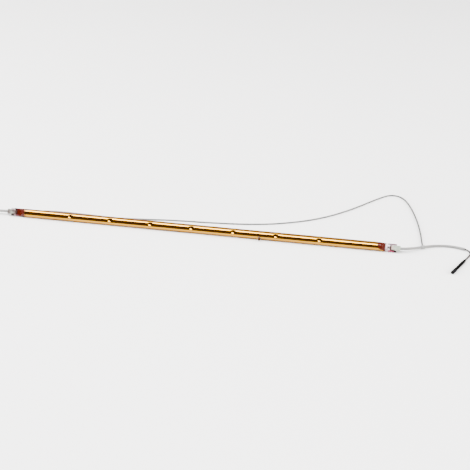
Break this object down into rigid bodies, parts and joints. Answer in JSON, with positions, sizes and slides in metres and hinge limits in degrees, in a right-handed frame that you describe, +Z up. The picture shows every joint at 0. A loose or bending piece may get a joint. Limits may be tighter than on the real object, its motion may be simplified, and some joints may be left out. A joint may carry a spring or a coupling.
{
  "type": "quartz heating tube",
  "caption": "Straight quartz infrared heating tube with a gold reflector coat, pressed ends in ceramic caps, and both leads sleeved and brought to one end in a small plug.",
  "frame": {"origin": "on the floor, under the middle of the quartz tube", "axes": "+X along the tube towards the end where both leads come out, +Y away from the gold-coated side, +Z up"},
  "size_m": [0.6315, 0.1922, 0.0101],
  "materials": {
    "quartz": "clear fused quartz",
    "gold": "fired gold coat, glossy",
    "tungsten": "drawn tungsten wire",
    "molybdenum": "rolled molybdenum",
    "nickel": "plain nickel",
    "cap_ceramic": "unglazed steatite",
    "cement": "dry white cement",
    "woven_sleeve": "woven glass sleeving, varnished",
    "lead_jacket": "pale silicone insulation",
    "collar": "pale shrunk collar",
    "red_insulation": "red insulation",
    "black_insulation": "black insulation",
    "black_shrink": "black heat-shrink",
    "black_plastic": "moulded black plastic",
    "contact_brass": "tinned brass"
  },
  "bodies": {
    "root": {"quartz_tube": "quartz", "gold_reflector": "gold", "filament": "tungsten", "filament_support_1": "tungsten", "filament_support_2": "tungsten", "filament_support_3": "tungsten", "filament_support_4": "tungsten", "filament_support_5": "tungsten", "filament_support_6": "tungsten", "filament_support_7": "tungsten", "foil_left": "molybdenum", "foil_right": "molybdenum", "pin_left": "molybdenum", "pin_right": "molybdenum", "crimp_left": "nickel", "crimp_right": "nickel", "lead_core_left": "nickel", "lead_core_right": "nickel", "cap_left": "cap_ceramic", "cap_right": "cap_ceramic", "cement_left": "cement", "cement_right": "cement", "sleeve_left": "woven_sleeve", "lead_sleeve": "woven_sleeve", "return_lead": "lead_jacket", "joint_collar": "collar", "red_wire": "red_insulation", "black_wire": "black_insulation", "tail_boot": "black_shrink", "tail_jacket": "black_shrink", "connector_housing": "black_plastic", "contact_1": "contact_brass", "contact_2": "contact_brass"}
  },
  "joints": []
}
